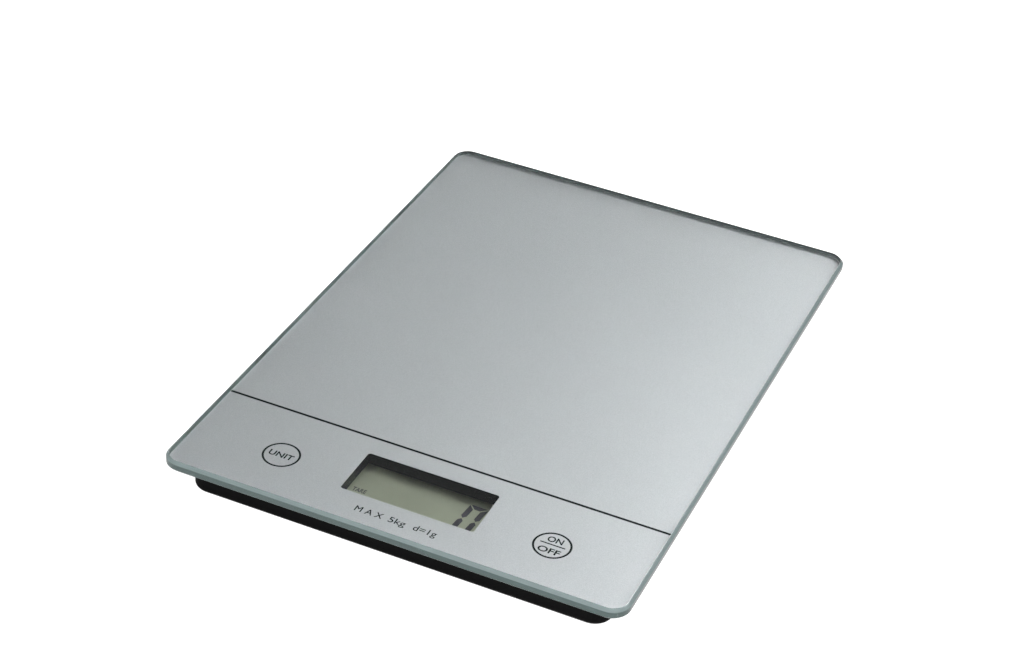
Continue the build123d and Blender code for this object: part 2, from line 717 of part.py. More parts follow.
def battery_chamber_cuts():
    """Everything cut out of the case for the coin cell, its contacts and its door."""
    chamber = post(0, BATTERY_Y, COIN_RADIUS + COIN_CLEARANCE, CHAMBER_FLOOR, CHAMBER_CEILING)
    recess = span(
        -DOOR_WIDTH / 2 - DOOR_GAP,
        DOOR_WIDTH / 2 + DOOR_GAP,
        DOOR_FRONT - DOOR_GAP,
        HINGE_Y + DOOR_THICKNESS / 2 + DOOR_HINGE_GAP,
        CASE_UNDERSIDE,
        CHAMBER_FLOOR,
    )
    cuts = [chamber, recess]
    for x in (-HOOK_X, HOOK_X):
        half = HOOK_WIDTH / 2 + DOOR_HINGE_GAP
        back = HINGE_Y + HOOK_REACH + DOOR_HINGE_GAP
        front = HINGE_Y - HOOK_ROOT - DOOR_HINGE_GAP
        bottom = DOOR_INNER_FACE - HOOK_SINK - HOOK_ROOM_BELOW
        cuts.append(span(x - half, x + half, front, back, bottom, HINGE_Z + HOOK_ROOM_ABOVE))
    half_leaf = CONTACT_WIDTH / 2 + CONTACT_SIDE_ROOM
    front = BATTERY_Y - half_leaf
    back = BATTERY_Y + half_leaf
    left = -CHAMBER_WIDTH / 2 - CHAMBER_SLOT_REACH
    slot_floor = CHAMBER_CEILING - 2 * CONTACT_THICKNESS
    cuts.append(span(left, NEGATIVE_SLOT_RIGHT, front, back, slot_floor, CHAMBER_CEILING))
    right = COIN_RADIUS + POSITIVE_SLOT_ROOM
    cuts.append(span(POSITIVE_SLOT_LEFT, right, front, back, CHAMBER_FLOOR, CHAMBER_TOP))
    thumb_y = DOOR_FRONT - THUMB_OFFSET
    thumb = Pos(0, thumb_y, CASE_UNDERSIDE + THUMB_DEPTH - THUMB_RADIUS) * Sphere(THUMB_RADIUS)
    cuts.append(thumb & post(0, thumb_y, 2 * THUMB_RADIUS, CASE_UNDERSIDE, FLOOR_TOP))
    return cuts


def bottom_housing():
    """Moulded tray that stands on the feet and holds everything below the platform."""
    housing = block(CASE_WIDTH, CASE_DEPTH, CASE_UNDERSIDE, CASE_RIM, corner=CASE_CORNER)
    housing = fillet(housing.faces().sort_by(Axis.Z)[0].edges(), CASE_EDGE_ROUND)
    housing -= block(
        CAVITY_WIDTH, CAVITY_DEPTH, FLOOR_TOP, CASE_RIM, corner=CASE_CORNER - CASE_WALL
    )
    for rib in floor_ribs():
        housing += rib
    stop_top = FRAME_UNDERSIDE - PLATFORM_TRAVEL - STOP_MARGIN
    for x, y in STOP_PLACES:
        housing += post(x, y, STOP_RADIUS, FLOOR_TOP, stop_top)
    for x, y in stake_places():
        housing += post(x, y, STAKE_RADIUS, FLOOR_TOP, BASE_PLATE_TOP)
        head_top = BASE_PLATE_TOP + STAKE_HEAD_HEIGHT
        housing += post(x, y, STAKE_HEAD_RADIUS, BASE_PLATE_TOP, head_top)
    middle = (CHAMBER_FRONT + CHAMBER_BACK) / 2
    length = CHAMBER_BACK - CHAMBER_FRONT
    housing += block(CHAMBER_WIDTH, length, FLOOR_TOP, CHAMBER_TOP, (0, middle), 1.5)
    for cut in battery_chamber_cuts():
        housing -= cut
    for x in CELL_SCREW_X:
        housing -= post(-x, 0, M3_ACCESS_RADIUS, CASE_UNDERSIDE, FLOOR_TOP)
    recess_top = CASE_UNDERSIDE + FOOT_RECESS
    for x, y in foot_places().values():
        housing -= post(x, y, FOOT_RADIUS + FIT_CLEARANCE, CASE_UNDERSIDE, recess_top)
    return housing


# The battery


def coin_cell():
    """20 mm coin cell, its wide positive face down and its stepped negative cap up."""
    can = post(0, BATTERY_Y, COIN_RADIUS, COIN_BOTTOM, COIN_TOP - COIN_STEP)
    return can + post(0, BATTERY_Y, COIN_RADIUS - COIN_CAP_INSET, COIN_TOP - COIN_STEP, COIN_TOP)


def battery_contact_negative():
    """Leaf spring that hangs from the chamber's ceiling onto the cell, with a solder tail."""
    upper = CHAMBER_CEILING
    lower = CHAMBER_CEILING - CONTACT_THICKNESS
    outside = -CHAMBER_WIDTH / 2 - CONTACT_THICKNESS
    touch = COIN_TOP + CONTACT_THICKNESS
    leaf = Polyline(
        (outside, lower),
        (CONTACT_BEND_X, lower),
        (CONTACT_TOUCH_X, COIN_TOP),
        (CONTACT_TIP_X, COIN_TOP + CONTACT_TIP_RISE),
        (CONTACT_TIP_X, touch + CONTACT_TIP_RISE),
        (CONTACT_TOUCH_X, touch),
        (CONTACT_BEND_X, upper),
        (outside, upper),
        close=True,
    )
    sheet = Pos(0, BATTERY_Y, 0) * extrude(
        Plane.XZ * make_face(leaf), CONTACT_WIDTH / 2, both=True
    )
    front = BATTERY_Y - CONTACT_WIDTH / 2
    back = BATTERY_Y + CONTACT_WIDTH / 2
    right = outside + CONTACT_THICKNESS
    return sheet + span(outside, right, front, back, lower, CHAMBER_TOP + CONTACT_TAIL)


def battery_contact_positive():
    """Leaf beside the cell's rim, with its solder tail through the roof."""
    left = COIN_RADIUS + CONTACT_TOUCH_GAP
    right = left + CONTACT_THICKNESS
    front = BATTERY_Y - CONTACT_WIDTH / 2
    back = BATTERY_Y + CONTACT_WIDTH / 2
    return span(left, right, front, back, COIN_BOTTOM + DOOR_GAP, CHAMBER_TOP + CONTACT_TAIL)


def battery_door():
    """Door with a rounded back edge that turns on two hooks, and a springy tongue in front."""
    door = span(
        -DOOR_WIDTH / 2, DOOR_WIDTH / 2, DOOR_FRONT, HINGE_Y, CASE_UNDERSIDE, DOOR_INNER_FACE
    )
    door += Pos(0, HINGE_Y, HINGE_Z) * Rot(0, 90, 0) * Cylinder(DOOR_THICKNESS / 2, DOOR_WIDTH)
    hook_bottom = DOOR_INNER_FACE - HOOK_SINK
    for x in (-HOOK_X, HOOK_X):
        door += span(
            x - HOOK_WIDTH / 2,
            x + HOOK_WIDTH / 2,
            HINGE_Y - HOOK_ROOT,
            HINGE_Y + HOOK_REACH,
            hook_bottom,
            hook_bottom + HOOK_THICKNESS,
        )
    slot_y = DOOR_FRONT + TONGUE_LENGTH / 2
    for x in (-TONGUE_SLOT_X, TONGUE_SLOT_X):
        door -= block(
            TONGUE_SLOT_WIDTH, TONGUE_LENGTH, CASE_UNDERSIDE, DOOR_INNER_FACE, (x, slot_y)
        )
    grip_top = CASE_UNDERSIDE + GRIP_DEPTH
    for offset in GRIP_OFFSETS:
        door -= block(GRIP_LENGTH, GRIP_WIDTH, CASE_UNDERSIDE, grip_top, (0, DOOR_FRONT + offset))
    return door


# The wires


def battery_wire_positive():
    x = COIN_RADIUS + CONTACT_TOUCH_GAP + CONTACT_THICKNESS + WIRE_DIAMETER / 2
    z = CHAMBER_TOP + WIRE_DIAMETER / 2 + CONTACT_THICKNESS
    return tube(
        [(x, BATTERY_Y + 1, z), (x, -57.0, z), (x + 2, -66.0, z), (x + 2, -66.0, BOARD_TOP)],
        bend=1.6,
    )


def battery_wire_negative():
    x = -CHAMBER_WIDTH / 2 - CONTACT_THICKNESS - WIRE_DIAMETER / 2
    z = CHAMBER_TOP
    return tube(
        [(x, BATTERY_Y + 1, z), (x, -57.0, z), (x + 3, -66.0, z), (x + 3, -66.0, BOARD_TOP)],
        bend=1.4,
    )


def load_cell_wire(place):
    """One of the four signal wires, from the bar round the battery chamber to the board."""
    start = -3.6 + 2.4 * place
    lane = -31.0 + 2.0 * place
    end = -37.0 + 2.6 * place
    turn = -14.0 - 2.0 * place
    z = (CELL_BOTTOM + CELL_TOP) / 2
    return tube(
        [
            (start, -CELL_WIDTH / 2 - 1.0, z),
            (start, turn, z),
            (lane, turn - 4.0, z),
            (lane, -54.0, z),
            (end, -66.0, z),
            (end, -66.0, BOARD_TOP),
        ],
        bend=1.0,
    )


def sub_parts():
    """Every node of the scale, by name."""
    parts = {
        "bottom_housing": bottom_housing(),
        "base_plate": base_plate(),
        "load_cell_lower_spacer": load_cell_lower_spacer(),
        "load_cell_lower_screws": load_cell_lower_screws(),
        "load_cell": load_cell(),
        "strain_gauges": strain_gauges(),
        "gauge_sealant": gauge_sealant(),
        "coin_cell": coin_cell(),
        "battery_contact_negative": battery_contact_negative(),
        "battery_contact_positive": battery_contact_positive(),
        "battery_door": battery_door(),
        "glass_platform": glass_platform(),
        "silver_back_print": silver_back_print(),
        "divider_line": divider_line(),
        "key_ring_unit": key_ring(-KEY_X),
        "key_ring_power": key_ring(KEY_X),
        "frame_tape": frame_tape(),
        "top_plate_tape": top_plate_tape(),
        "upper_frame": upper_frame(),
        "top_plate": top_plate(),
        "load_cell_upper_spacer": load_cell_upper_spacer(),
        "load_cell_upper_screws": load_cell_upper_screws(),
        "lcd_front_polariser": lcd_front_polariser(),
        "lcd_front_glass": lcd_front_glass(),
        "lcd_rear_glass": lcd_rear_glass(),
        "lcd_reflector": lcd_reflector(),
        "lcd_foam_strip": lcd_foam_strip(),
        "lcd_holder": lcd_holder(),
        "display_flex": display_flex(),
        "lcd_back_cover": lcd_back_cover(),
        "circuit_board": circuit_board(),
        "controller_blob": controller_blob(),
        "chip_components": chip_components(),
        "touch_spring_unit": touch_spring(-KEY_X),
        "touch_spring_power": touch_spring(KEY_X),
        "circuit_board_screws": tappers(board_screw_places(), FRAME_TAPPER_LENGTH),
        "lcd_holder_screws": tappers(holder_screw_places(), HOLDER_TAPPER_LENGTH),
        "battery_wire_positive": battery_wire_positive(),
        "battery_wire_negative": battery_wire_negative(),
    }
    for place, colour in enumerate(("red", "black", "white", "green")):
        parts[f"load_cell_wire_{colour}"] = load_cell_wire(place)
    for name, (x, y) in foot_places().items():
        parts[name] = foot(x, y)
    return parts


os.makedirs("parts", exist_ok=True)
for name, shape in sub_parts().items():
    export_step(shape, f"parts/{name}.step")
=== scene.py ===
"""The looks of a slim kitchen scale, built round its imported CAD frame.

All places and sizes are in metres, in the frame's own axes: +X to the user's right, +Y away from
the user, +Z up. MM turns a size that is given in millimetres into metres.
"""

import json
import math

import bmesh
import bpy
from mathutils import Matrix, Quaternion, Vector


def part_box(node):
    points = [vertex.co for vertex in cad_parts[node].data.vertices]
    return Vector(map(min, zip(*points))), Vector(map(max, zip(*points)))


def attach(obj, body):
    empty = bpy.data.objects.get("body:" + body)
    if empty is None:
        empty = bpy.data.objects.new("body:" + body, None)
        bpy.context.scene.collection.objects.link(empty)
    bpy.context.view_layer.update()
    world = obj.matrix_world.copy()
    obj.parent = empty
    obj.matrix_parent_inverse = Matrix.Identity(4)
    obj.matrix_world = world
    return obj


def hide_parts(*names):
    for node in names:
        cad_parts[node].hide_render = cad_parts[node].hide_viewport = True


MM = 0.001

# The camera: where it stands, what it looks at and its turn about its own line of sight. The lens
# and the sensor are in millimetres of film.
CAMERA_PLACE = Vector((230.3, -618.3, 468.5)) * MM
CAMERA_TARGET = Vector((-8.8, 3.6, 15.0)) * MM
CAMERA_ROLL = math.radians(4.85)
CAMERA_LENS = 81.23
SENSOR_WIDTH = 36.0

# The print: how far the paint and the marks are bedded in the glass, and how thick a mark is
PAINT_BITE = 0.02 * MM
MARK_BITE = 0.03 * MM
MARK_DEPTH = 0.04 * MM

# The words in the keys: a capital's height, how much a stroke is thickened as a share of the type
# size, and each word's left, right and baseline from the middle of its key
KEY_CAPITAL = 2.5 * MM
KEY_SWELL = 0.02
UNIT_SPAN = (-4.3 * MM, 4.3 * MM, -1.3 * MM)
ON_SPAN = (-2.6 * MM, 2.6 * MM, 1.5 * MM)
OFF_SPAN = (-3.7 * MM, 3.7 * MM, -4.0 * MM)

# The bar between ON and OFF, and how far behind the middle of the key it lies
BAR_LENGTH = 8.4 * MM
BAR_WIDTH = 0.5 * MM
BAR_LIFT = 0.35 * MM

# The capacity line: its capitals, its strokes, its baseline's distance in front of the display,
# and each word's left and right from the middle of the glass
CAPACITY_CAPITAL = 2.6 * MM
CAPACITY_SWELL = 0.008
CAPACITY_GAP = 6.85 * MM
CAPACITY_WORDS = (
    ("M A X", -14.4 * MM, -4.8 * MM),
    ("5kg", -2.7 * MM, 3.1 * MM),
    ("d=1g", 5.9 * MM, 13.8 * MM),
)

# The display's figures, placed from the middle of the display: a seven-segment nought, with its
# centre, size, strokes and slant, and a small word, with its left, right, baseline and capitals
FIGURE_DEPTH = 0.02 * MM
FIGURE_CENTRE = (17.3 * MM, -0.4 * MM)
FIGURE_SIZE = (6.4 * MM, 15.2 * MM)
FIGURE_STROKE = 1.9 * MM
FIGURE_GAP = 0.3 * MM
FIGURE_SLANT = math.tan(math.radians(5.0))
TARE_SPAN = (-22.1 * MM, -17.3 * MM, -4.4 * MM)
TARE_CAPITAL = 1.9 * MM
TARE_SWELL = 0.025

# The plus sign on the coin cell's face: its arms' reach and width, its height off the face and
# its distance behind the middle of the cell
PLUS_ARM = 2.2 * MM
PLUS_WIDTH = 0.5 * MM
PLUS_HEIGHT = 0.03 * MM
PLUS_SHIFT = 5.0 * MM

WHITE = (1.0, 1.0, 1.0)

# Glass: its refraction, and how rough and how clear it is where its edge is ground. Each glass
# has its own tint in the depth and on its edge, where the sloping part carries painted light and
# the upright part painted shade, as lamps above light a bevel more than a wall.
GLASS_IOR = 1.52
EDGE_ROUGHNESS = 0.2
EDGE_CLEARNESS = 0.3
# The flatness over which polish gives way to grinding, and that over which the wall's painted
# shade turns to the bevel's painted light
POLISHED_LIMITS = (0.9995, 0.985)
PAINTED_LIGHT_SLOPE_LIMITS = (0.25, 0.6)
GLASSES = {
    "tempered_glass": dict(
        absorption=(0.0, 0.66, 0.60),
        density=14.0,
        # Painted light on the bevel and painted shade on the wall, for the lamps above
        bevel_with_painted_light=(0.125, 0.155, 0.155),
        wall_with_painted_shade=(0.047, 0.072, 0.069),
    ),
    "lcd_glass": dict(
        absorption=(0.2, 0.7, 0.5),
        density=6.0,
        bevel_with_painted_light=(0.30, 0.36, 0.34),
        wall_with_painted_shade=(0.30, 0.36, 0.34),
    ),
}

# The silver paint: fine flakes that change its colour, and clouds of them that change its gloss
SILVER_COLOUR = (0.622, 0.598, 0.613)
SILVER_ROUGHNESS = (0.40, 0.44)
FLAKE_SIZE = 0.3 * MM
FLAKE_DEPTH = 0.01 * MM
FLAKE_DETAIL = 1.0
FLAKE_VARIATION = 0.2
CLOUD_SIZE = 9.0 * MM

# The part of its range that a noise mostly stays in
NOISE_RANGE = (0.3, 0.7)

# The grained finishes: their gloss changes over this many grains, by this much either way. A
# brushed finish has its grain drawn out along one axis.
GLOSS_BREADTH = 24
GLOSS_VARIATION = 0.06
EVEN = (1.0, 1.0, 1.0)
BRUSHED_STEEL = (0.08, 1.0, 1.0)
BRUSHED_ALUMINIUM = (0.06, 1.0, 1.0)
BRUSHED_COIN = (1.0, 0.1, 1.0)
GRAINED = {
    "black_print": dict(
        colour=(0.004, 0.004, 0.0045), roughness=0.5, grain=0.15 * MM, depth=0.002 * MM,
        specular=0.1,
    ),
    # Black plastic, partly its own black and partly painted shade: darker than the plastic is, for
    # the shade under the glass's overhang
    "black_abs": dict(
        colour=(0.0014, 0.0014, 0.0015), roughness=0.5, grain=0.35 * MM, depth=0.03 * MM,
        specular=0.04,
    ),
    # Black plastic inside, partly its own colour and partly painted shade: near black and purple,
    # for the shade in the display well
    "inner_abs": dict(
        colour=(0.004, 0.002, 0.005), roughness=0.6, grain=0.3 * MM, depth=0.01 * MM,
        specular=0.05,
    ),
    "foot_rubber": dict(
        colour=(0.03, 0.03, 0.031), roughness=0.8, grain=0.5 * MM, depth=0.04 * MM
    ),
    "zinc_steel": dict(
        colour=(0.62, 0.63, 0.66), roughness=0.35, grain=0.4 * MM, depth=0.01 * MM,
        metallic=1.0, stretch=BRUSHED_STEEL,
    ),
    "screw_steel": dict(
        colour=(0.55, 0.56, 0.58), roughness=0.3, grain=0.2 * MM, depth=0.006 * MM,
        metallic=1.0,
    ),
    "load_cell_aluminium": dict(
        colour=(0.80, 0.81, 0.82), roughness=0.35, grain=0.3 * MM, depth=0.01 * MM,
        metallic=1.0, stretch=BRUSHED_ALUMINIUM,
    ),
    "gauge_film": dict(
        colour=(0.75, 0.42, 0.10), roughness=0.35, grain=0.3 * MM, depth=0.004 * MM
    ),
    "white_sealant": dict(
        colour=(0.86, 0.86, 0.84), roughness=0.45, grain=1.2 * MM, depth=0.08 * MM
    ),
    "coin_steel": dict(
        colour=(0.74, 0.75, 0.76), roughness=0.22, grain=0.25 * MM, depth=0.003 * MM,
        metallic=1.0, stretch=BRUSHED_COIN,
    ),
    "contact_nickel": dict(
        colour=(0.70, 0.69, 0.66), roughness=0.28, grain=0.2 * MM, depth=0.004 * MM,
        metallic=1.0,
    ),
    "wire_red": dict(
        colour=(0.55, 0.02, 0.02), roughness=0.4, grain=0.4 * MM, depth=0.01 * MM
    ),
    "wire_black": dict(
        colour=(0.02, 0.02, 0.02), roughness=0.4, grain=0.4 * MM, depth=0.01 * MM
    ),
    "wire_white": dict(
        colour=(0.82, 0.82, 0.80), roughness=0.4, grain=0.4 * MM, depth=0.01 * MM
    ),
    "wire_green": dict(
        colour=(0.02, 0.30, 0.08), roughness=0.4, grain=0.4 * MM, depth=0.01 * MM
    ),
    "foam_tape": dict(
        colour=(0.70, 0.70, 0.67), roughness=0.9, grain=0.25 * MM, depth=0.05 * MM
    ),
    "lcd_film": dict(
        colour=(0.475, 0.475, 0.362), roughness=0.40, grain=0.12 * MM, depth=0.001 * MM,
        variation=0.03, metallic=0.8,
    ),
    "lcd_reflector": dict(
        colour=(0.60, 0.62, 0.56), roughness=0.4, grain=0.2 * MM, depth=0.002 * MM,
        metallic=1.0,
    ),
    "figure_ink": dict(
        colour=(0.060, 0.050, 0.066), roughness=0.35, grain=0.12 * MM, depth=0.001 * MM
    ),
    "flex_film": dict(
        colour=(0.70, 0.38, 0.09), roughness=0.35, grain=0.3 * MM, depth=0.004 * MM
    ),
    "board_laminate": dict(
        colour=(0.03, 0.22, 0.09), roughness=0.35, grain=0.6 * MM, depth=0.02 * MM
    ),
    "chip_epoxy": dict(
        colour=(0.014, 0.014, 0.014), roughness=0.3, grain=0.5 * MM, depth=0.02 * MM
    ),
    "chip_ceramic": dict(
        colour=(0.42, 0.34, 0.24), roughness=0.5, grain=0.2 * MM, depth=0.01 * MM
    ),
}

# The room: its dim light, its bright look to the camera and its colour
ROOM_LIGHT = 0.17
BACKDROP_LIGHT = 0.9
ROOM_COLOUR = (0.98, 0.99, 1.0)

# The floor's paper, just under the feet, and how much it glows to the camera
FLOOR_HEIGHT = -0.02 * MM
FLOOR_SPAN = 12.0
FLOOR_COLOUR = (0.45, 0.45, 0.45)
FLOOR_VARIATION = 0.01
FLOOR_ROUGHNESS = 0.9
FLOOR_SPECULAR = 0.1
FLOOR_GLOW = 0.75
FIBRE_SIZE = 4 * MM

# The lamps, which all face the origin: each one's place, width, height and power in watts
LAMPS = (
    ("key_softbox", (0.68, 0.81, 1.06), 1.1, 0.87, 56.0),
    ("overhead_softbox", (0.5, -0.1, 1.7), 1.6, 1.2, 48.0),
    ("back_softbox", (-0.26, 0.71, 1.41), 1.0, 0.7, 3.1),
    ("front_fill", (0.6, -1.5, 1.0), 1.4, 0.8, 60.0),
    ("under_fill", (0.0, 0.0, -1.5), 0.8, 0.8, 40.0),
)
# The lamps that the glass doesn't mirror, those that the paint under it doesn't see either, and
# the one that leaves matt surfaces to the others
UNMIRRORED = ("overhead_softbox", "back_softbox", "front_fill")
UNSEEN_BY_PAINT = ("overhead_softbox", "front_fill")
GLOSS_ONLY = ("key_softbox",)
# The lamp below the floor, which is clear from there, and the bodies that it lights
UNDER_LAMP = "under_fill"
UNDER_LIT = ("base", "battery_cover")

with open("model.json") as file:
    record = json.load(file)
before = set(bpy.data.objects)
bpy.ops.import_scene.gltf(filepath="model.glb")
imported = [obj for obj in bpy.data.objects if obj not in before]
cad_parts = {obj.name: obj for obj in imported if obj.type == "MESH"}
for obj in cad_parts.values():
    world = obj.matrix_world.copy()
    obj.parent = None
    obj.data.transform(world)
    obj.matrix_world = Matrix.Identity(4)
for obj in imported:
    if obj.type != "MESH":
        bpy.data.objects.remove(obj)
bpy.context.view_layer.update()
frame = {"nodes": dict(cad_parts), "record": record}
slots = {part["node"]: part["material_slot"] for part in frame["record"]["subparts"]}


# Shading: after the first two, each function adds nodes to a tree and gives back the output that
# carries the result


def new_material(name):
    """A new material with its node tree and its main shader."""
    material = bpy.data.materials.new(name)
    material.use_nodes = True
    return material, material.node_tree, material.node_tree.nodes["Principled BSDF"]


def drive(tree, shader, outputs):
    """Feeds a shader's inputs, which go by their names, from the outputs of other nodes."""
    for name, output in outputs.items():
        tree.links.new(output, shader.inputs[name])


def noise(tree, size, stretch=EVEN, detail=3.0):
    """Noise whose features are about size across, in the object's own metres."""
    place = tree.nodes.new("ShaderNodeTexCoord")
    mapping = tree.nodes.new("ShaderNodeMapping")
    mapping.inputs["Scale"].default_value = stretch
    tree.links.new(place.outputs["Object"], mapping.inputs["Vector"])
    texture = tree.nodes.new("ShaderNodeTexNoise")
    texture.inputs["Scale"].default_value = 1.0 / size
    texture.inputs["Detail"].default_value = detail
    tree.links.new(mapping.outputs["Vector"], texture.inputs["Vector"])
    return texture.outputs["Fac"]


def spread(tree, value, source=(0.0, 1.0), target=(0.0, 1.0)):
    """Stretches a value's source range over the target range, and holds it at the ends.

    Either range may run downwards.
    """
    stretched = tree.nodes.new("ShaderNodeMapRange")
    names = ("From Min", "From Max", "To Min", "To Max")
    for name, number in zip(names, (*source, *target)):
        stretched.inputs[name].default_value = number
    tree.links.new(value, stretched.inputs["Value"])
    return stretched.outputs["Result"]


def noisy_value(tree, factor, low, high):
    """A value that wanders between low and high with a noise."""
    return spread(tree, factor, NOISE_RANGE, (low, high))


def flatness(tree):
    """1 where a surface lies flat and 0 where it stands upright."""
    geometry = tree.nodes.new("ShaderNodeNewGeometry")
    parts = tree.nodes.new("ShaderNodeSeparateXYZ")
    tree.links.new(geometry.outputs["Normal"], parts.inputs["Vector"])
    upright = tree.nodes.new("ShaderNodeMath")
    upright.operation = "ABSOLUTE"
    tree.links.new(parts.outputs["Z"], upright.inputs[0])
    return upright.outputs["Value"]


def camera_only(tree, low, high):
    """High for what the camera sees directly, and low for all other light."""
    light_path = tree.nodes.new("ShaderNodeLightPath")
    return spread(tree, light_path.outputs["Is Camera Ray"], target=(low, high))


def blend_colours(tree, factor, first, second):
    """Runs from the first colour to the second, either of them a tuple or a node's output."""
    mix = tree.nodes.new("ShaderNodeMix")
    mix.data_type = "RGBA"
    for name, colour in (("A", first), ("B", second)):
        side = next(i for i in mix.inputs if i.name == name and i.type == "RGBA")
        if isinstance(colour, tuple):
            side.default_value = (*colour, 1.0)
        else:
            tree.links.new(colour, side)
    tree.links.new(factor, mix.inputs["Factor"])
    return next(o for o in mix.outputs if o.type == "RGBA")


def vary_colour(tree, factor, colour, variation):
    """Lets the colour run from a little darker to a little lighter with the factor."""
    darker, lighter = (
        tuple(min(1.0, channel * gain) for channel in colour)
        for gain in (1 - variation, 1 + variation)
    )
    return blend_colours(tree, factor, darker, lighter)


def raised(tree, factor, depth):
    """The surface's direction once the factor has raised it by up to the depth."""
    bump = tree.nodes.new("ShaderNodeBump")
    bump.inputs["Strength"].default_value = 1.0
    bump.inputs["Distance"].default_value = depth
    tree.links.new(factor, bump.inputs["Height"])
    return bump.outputs["Normal"]


# Finishes, by the names of the material slots


def grained(
    name,
    colour,
    roughness,
    grain,
    depth,
    variation=0.08,
    metallic=0.0,
    specular=0.5,
    stretch=EVEN,
):
    """A finish whose colour, gloss and surface all vary with fine noise of one grain size."""
    material, tree, shader = new_material(name)
    fine = noise(tree, grain, stretch)
    broad = noise(tree, GLOSS_BREADTH * grain, stretch)
    smoothest, roughest = roughness - GLOSS_VARIATION, roughness + GLOSS_VARIATION
    shader.inputs["Metallic"].default_value = metallic
    shader.inputs["Specular IOR Level"].default_value = specular
    drive(tree, shader, {
        "Base Color": vary_colour(tree, fine, colour, variation),
        "Roughness": noisy_value(tree, broad, smoothest, roughest),
        "Normal": raised(tree, fine, depth),
    })
    return material


def clear_glass(name, absorption, density, bevel_with_painted_light, wall_with_painted_shade):
    """Polished clear glass, tinted and part opaque where its edge is ground.

    The bevel tint, on the sloping part of the edge, carries painted light, and the wall tint, on
    the upright part, painted shade.
    """
    material, tree, shader = new_material(name)
    flat = flatness(tree)
    ground = spread(tree, flat, POLISHED_LIMITS)
    # Painted light and shade: the edge's tint runs from the darker wall to the lighter bevel with
    # its slope
    painted_light_on_slope = spread(tree, flat, PAINTED_LIGHT_SLOPE_LIMITS)
    edge_painted_light_and_shade = blend_colours(tree, painted_light_on_slope, wall_with_painted_shade, bevel_with_painted_light)
    shader.inputs["IOR"].default_value = GLASS_IOR
    drive(tree, shader, {
        "Base Color": blend_colours(tree, ground, WHITE, edge_painted_light_and_shade),
        "Roughness": spread(tree, ground, target=(0.0, EDGE_ROUGHNESS)),
        "Transmission Weight": spread(tree, ground, target=(1.0, EDGE_CLEARNESS)),
    })
    inside = tree.nodes.new("ShaderNodeVolumeAbsorption")
    inside.inputs["Color"].default_value = (*absorption, 1.0)
    inside.inputs["Density"].default_value = density
    tree.links.new(inside.outputs["Volume"], tree.nodes["Material Output"].inputs["Volume"])
    return material


def silver_paint(name):
    """Screen-printed silver: fine metal flakes, each a little lighter or darker."""
    material, tree, shader = new_material(name)
    flakes = noise(tree, FLAKE_SIZE, detail=FLAKE_DETAIL)
    clouds = noise(tree, CLOUD_SIZE)
    shader.inputs["Metallic"].default_value = 1.0
    drive(tree, shader, {
        "Base Color": vary_colour(tree, flakes, SILVER_COLOUR, FLAKE_VARIATION),
        "Roughness": noisy_value(tree, clouds, *SILVER_ROUGHNESS),
        "Normal": raised(tree, flakes, FLAKE_DEPTH),
    })
    return material


FINISHES = {
    "silver_print": silver_paint("silver_print"),
    **{name: clear_glass(name, **look) for name, look in GLASSES.items()},
    **{name: grained(name, **look) for name, look in GRAINED.items()},
}


def paint_nodes():
    """Gives each CAD node the finish of its material slot."""
    for node, slot in slots.items():
        materials = frame["nodes"][node].data.materials
        materials.clear()
        materials.append(FINISHES[slot])


# Shapes


def middle(node):
    """The middle of a CAD node's box, in the plane."""
    low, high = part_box(node)
    return (low.x + high.x) / 2, (low.y + high.y) / 2


def rectangle(x, y, width, depth):
    """Corner points of a rectangle about (x, y)."""
    corners = ((-1, -1), (1, -1), (1, 1), (-1, 1))
    return [(x + sx * width / 2, y + sy * depth / 2) for sx, sy in corners]


def shifted(span, x, y):
    """A span of left, right and baseline, moved by (x, y)."""
    left, right, baseline = span
    return left + x, right + x, baseline + y


def prism(outlines, bottom, top):
    """A mesh of upright plates, one for each outline of (x, y) points."""
    build = bmesh.new()
    for outline in outlines:
        lower = [build.verts.new((x, y, bottom)) for x, y in outline]
        upper = [build.verts.new((x, y, top)) for x, y in outline]
        build.faces.new(upper)
        build.faces.new(lower[::-1])
        for i, here in enumerate(lower):
            after = (i + 1) % len(lower)
            build.faces.new((here, lower[after], upper[after], upper[i]))
    bmesh.ops.recalc_face_normals(build, faces=build.faces)
    mesh = bpy.data.meshes.new("plates")
    build.to_mesh(mesh)
    build.free()
    return mesh


def word_mesh(words, swell=0.0):
    """Words in Blender's own font as a plate one unit thick, with their left, right and top."""
    curve = bpy.data.curves.new("words", "FONT")
    curve.body = words
    curve.extrude = 0.5 - swell
    curve.bevel_depth = swell
    curve.bevel_resolution = 0
    holder = bpy.data.objects.new("words", curve)
    bpy.context.scene.collection.objects.link(holder)
    bpy.context.view_layer.update()
    shown = holder.evaluated_get(bpy.context.evaluated_depsgraph_get())
    mesh = bpy.data.meshes.new_from_object(shown)
    bpy.data.objects.remove(holder)
    bpy.data.curves.remove(curve)
    xs = [v.co.x for v in mesh.vertices]
    ys = [v.co.y for v in mesh.vertices]
    return mesh, (min(xs), max(xs), max(ys))


# Pieces


def new_piece(name, mesh, body, slot, finish=None):
    """Puts a mesh in the scene as a piece that rides on a body, in its slot's finish or another."""
    mesh.materials.clear()
    mesh.materials.append(FINISHES[finish or slot])
    piece = bpy.data.objects.new(name, mesh)
    bpy.context.scene.collection.objects.link(piece)
    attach(piece, body)
    return piece


